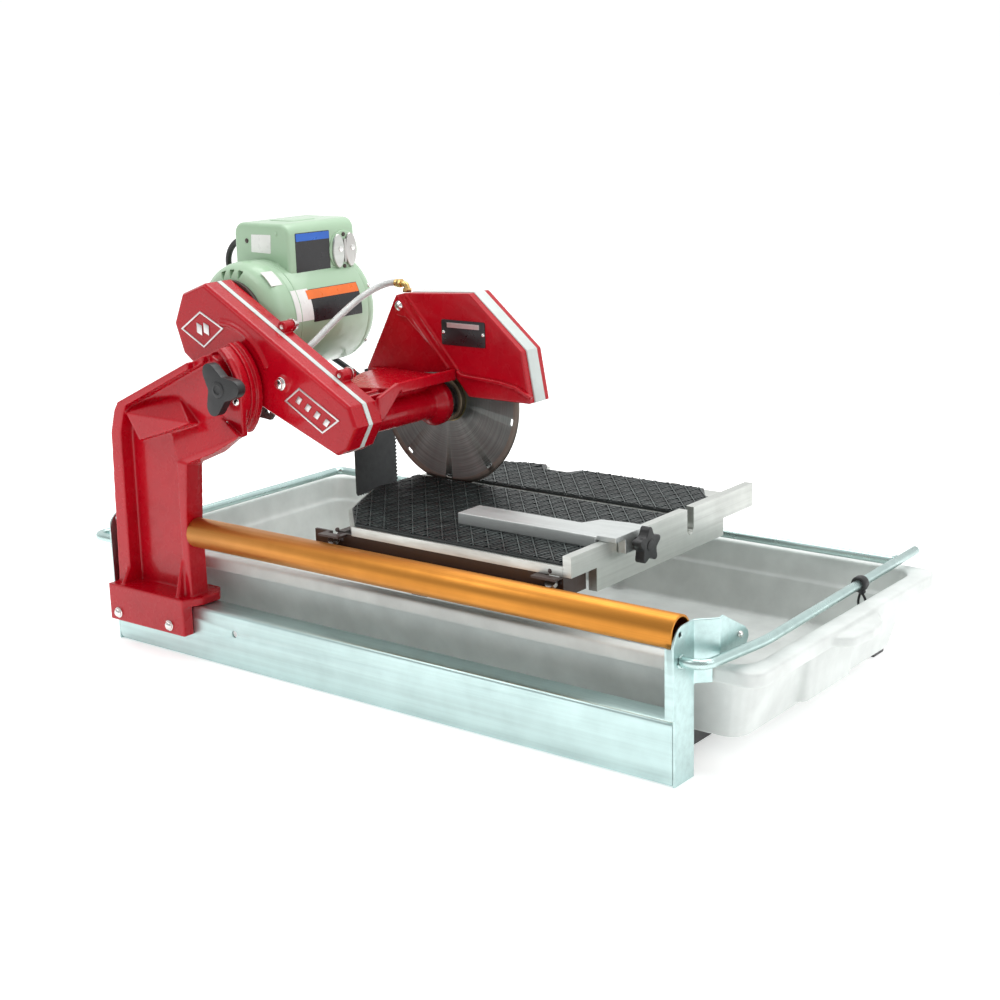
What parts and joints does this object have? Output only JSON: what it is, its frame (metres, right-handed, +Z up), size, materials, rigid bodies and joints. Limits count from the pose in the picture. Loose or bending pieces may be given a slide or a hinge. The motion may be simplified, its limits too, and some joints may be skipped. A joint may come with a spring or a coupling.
{
  "type": "tile and stone wet saw",
  "caption": "Wet saw with a tilting belt-driven blade head on a cast post, over a table that rolls along a round rail above a water pan.",
  "frame": {"origin": "on the floor, under the middle of the object measured without its free cord", "axes": "+Z up, +X along the rail from the post to the open end of the frame, +Y away from the operator"},
  "size_m": [1.1498, 0.7835, 0.605],
  "materials": {
    "red_paint": "gloss enamel over a cast surface",
    "zinc": "bright zinc plate",
    "gold_anodised": "gold anodised",
    "white_plastic": "satin moulded",
    "mint_paint": "gloss enamel",
    "black_plastic": "moulded",
    "black_paint": "semi-gloss",
    "black_rubber": "matte, diamond tread on the pads",
    "bare_aluminium": "machined and cast",
    "bright_steel": "turned",
    "dark_steel": "dark oiled",
    "blade_steel": "ground, brown segment rim",
    "grey_gasket": "satin",
    "brass": "bright",
    "clear_hose": "clear soft tube"
  },
  "bodies": {
    "frame": {"front_beam": "zinc", "end_upright_right": "zinc", "end_upright_left": "zinc", "guide_tube": "gold_anodised", "rail_rod": "zinc", "side_rod": "zinc", "rod_clip": "black_plastic", "cross_member_left": "black_paint", "cross_member_right": "black_paint", "rear_foot_bar": "black_paint", "water_pan": "white_plastic", "drain_plug": "black_plastic", "post_casting": "red_paint", "post_bolt_left": "bare_aluminium", "post_bolt_right": "bare_aluminium", "pivot_pin": "bright_steel", "power_cord": "black_rubber", "cord_coil": "black_rubber", "cord_plug": "black_plastic"},
    "head": {"belt_guard_outer": "red_paint", "guard_gasket": "grey_gasket", "guard_hex_bolt": "bright_steel", "head_casting": "red_paint", "guard_bolt_upper": "bright_steel", "guard_bolt_lower": "bright_steel", "motor_mount": "dark_steel", "motor_end_bell": "mint_paint", "motor_shell": "mint_paint", "conduit_box": "mint_paint", "outlet_lid_front": "bare_aluminium", "outlet_lid_rear": "bare_aluminium", "cord_gland": "black_plastic", "drive_belt": "black_rubber", "bearing_front": "bright_steel", "bearing_rear": "bright_steel", "blade_guard_rear": "red_paint", "hood_hinge_pin": "bare_aluminium", "splash_flap": "black_rubber", "water_elbow": "brass", "water_hose": "clear_hose"},
    "spindle": {"spindle_shaft": "bright_steel", "spindle_pulley": "dark_steel", "saw_blade": "blade_steel", "blade_flange": "bright_steel", "spindle_nut": "bright_steel"},
    "rotor": {"motor_shaft": "bright_steel", "motor_pulley": "dark_steel"},
    "hood": {"blade_guard_hood": "red_paint"},
    "lock": {"lock_knob": "black_plastic"},
    "cart": {"table_plate": "bare_aluminium", "table_pad_near": "black_rubber", "table_pad_far": "black_rubber", "table_fence": "bare_aluminium", "carriage_frame": "dark_steel"},
    "roller_left": {"rail_roller_left": "bright_steel"},
    "roller_right": {"rail_roller_right": "bright_steel"},
    "wheel_left": {"rear_wheel_left": "bright_steel"},
    "wheel_right": {"rear_wheel_right": "bright_steel"},
    "guide": {"rip_guide": "bare_aluminium"},
    "guide_screw": {"guide_knob": "black_plastic"}
  },
  "joints": [
    {"name": "head_tilt", "type": "hinge", "parent": "frame", "child": "head", "pos_m": [-0.30995, -0.24975, 0.388], "axis": [0, -1, 0], "range_deg": [0, 30], "deforming": ["power_cord"]},
    {"name": "spindle_spin", "type": "hinge", "parent": "head", "child": "spindle", "pos_m": [-0.10695, -0.07975, 0.35], "axis": [0, 1, 0], "continuous": true},
    {"name": "motor_spin", "type": "hinge", "parent": "head", "child": "rotor", "pos_m": [-0.34495, -0.07975, 0.47], "axis": [0, 1, 0], "continuous": true},
    {"name": "hood_lift", "type": "hinge", "parent": "head", "child": "hood", "pos_m": [-0.17195, 0.03125, 0.484], "axis": [0, -1, 0], "range_deg": [0, 30]},
    {"name": "lock_turn", "type": "hinge", "parent": "head", "child": "lock", "pos_m": [-0.24637, -0.27475, 0.40151], "axis": [0, -1, 0], "range_deg": [-40, 0]},
    {"name": "table_slide", "type": "slide", "parent": "frame", "child": "cart", "axis": [1, 0, 0], "range_m": [-0.07, 0.155]},
    {"name": "roller_left_spin", "type": "hinge", "parent": "cart", "child": "roller_left", "pos_m": [-0.08695, -0.24035, 0.2054], "axis": [0, -0.7071, 0.7071], "continuous": true},
    {"name": "roller_right_spin", "type": "hinge", "parent": "cart", "child": "roller_right", "pos_m": [0.27305, -0.24035, 0.2054], "axis": [0, -0.7071, 0.7071], "continuous": true},
    {"name": "wheel_left_spin", "type": "hinge", "parent": "cart", "child": "wheel_left", "pos_m": [-0.08695, 0.24025, 0.1696], "axis": [0, 1, 0], "continuous": true},
    {"name": "wheel_right_spin", "type": "hinge", "parent": "cart", "child": "wheel_right", "pos_m": [0.15305, 0.24025, 0.1696], "axis": [0, 1, 0], "continuous": true},
    {"name": "guide_slide", "type": "slide", "parent": "cart", "child": "guide", "axis": [0, 1, 0], "range_m": [-0.09, 0.1]},
    {"name": "guide_screw_turn", "type": "hinge", "parent": "guide", "child": "guide_screw", "pos_m": [0.32805, -0.11375, 0.231], "axis": [1, 0, 0], "range_deg": [0, 720]}
  ],
  "couplings": [
    {"joint": "motor_spin", "follows": "spindle_spin", "ratio": 0.6},
    {"joint": "roller_left_spin", "follows": "table_slide", "rad_per_m": -125},
    {"joint": "roller_right_spin", "follows": "table_slide", "rad_per_m": -125},
    {"joint": "wheel_left_spin", "follows": "table_slide", "rad_per_m": 67.11},
    {"joint": "wheel_right_spin", "follows": "table_slide", "rad_per_m": 67.11}
  ]
}
